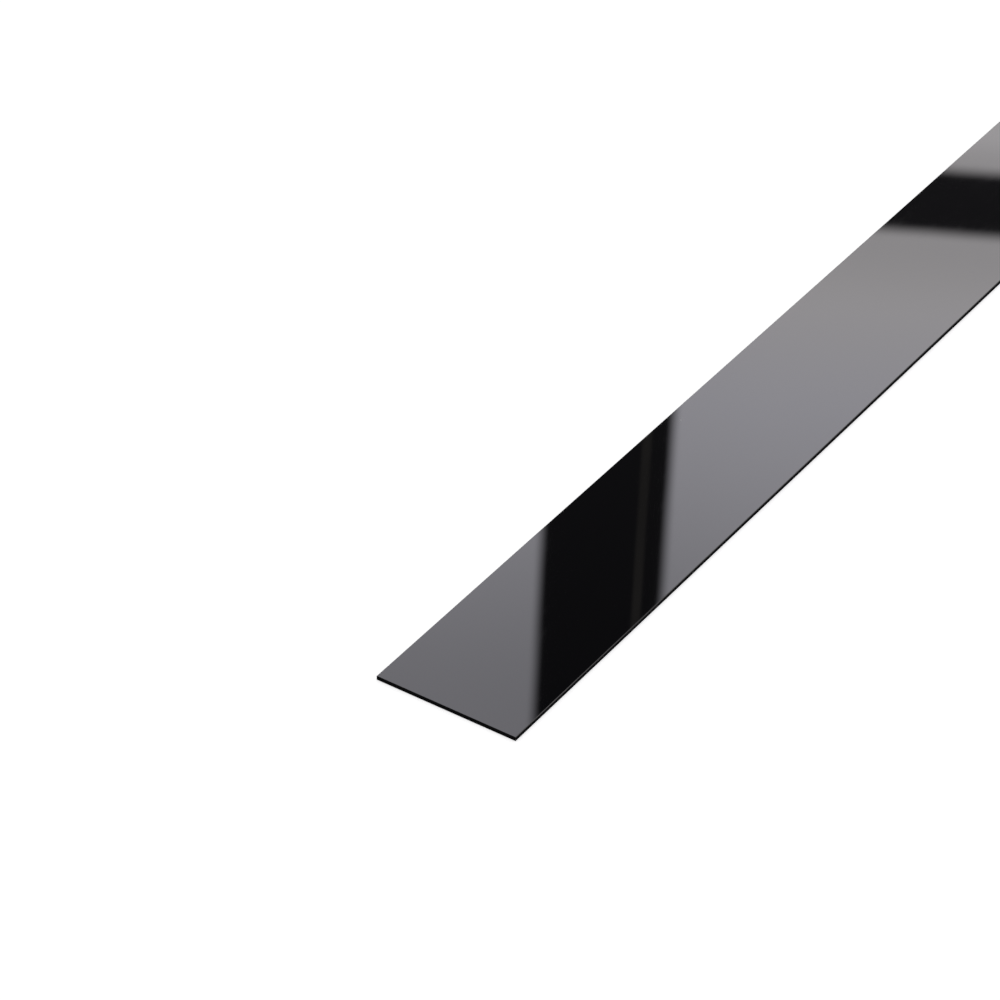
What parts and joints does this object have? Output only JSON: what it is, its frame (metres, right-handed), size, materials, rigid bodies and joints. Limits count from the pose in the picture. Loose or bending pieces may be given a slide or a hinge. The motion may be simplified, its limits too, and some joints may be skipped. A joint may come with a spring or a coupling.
{
  "type": "kick plate",
  "caption": "Long, low, flat door kick plate of gloss black acrylic sheet with square ends, bevelled long edges and self-adhesive strips with release liners on its back.",
  "frame": {"origin": "middle of the back, on the surface that the release liners lie on", "axes": "+X along the plate's length, across the door; +Y up the door once fitted; +Z out of the door, from the adhesive back to the glossy face"},
  "size_m": [0.838, 0.1, 0.0032],
  "materials": {
    "gloss_black_acrylic": "polished",
    "mounting_tape": "matte",
    "liner_film": "satin"
  },
  "bodies": {
    "root": {"face_plate": "gloss_black_acrylic", "tape_strip_upper": "mounting_tape", "tape_strip_middle": "mounting_tape", "tape_strip_lower": "mounting_tape", "release_liner_upper": "liner_film", "release_liner_middle": "liner_film", "release_liner_lower": "liner_film"}
  },
  "joints": []
}
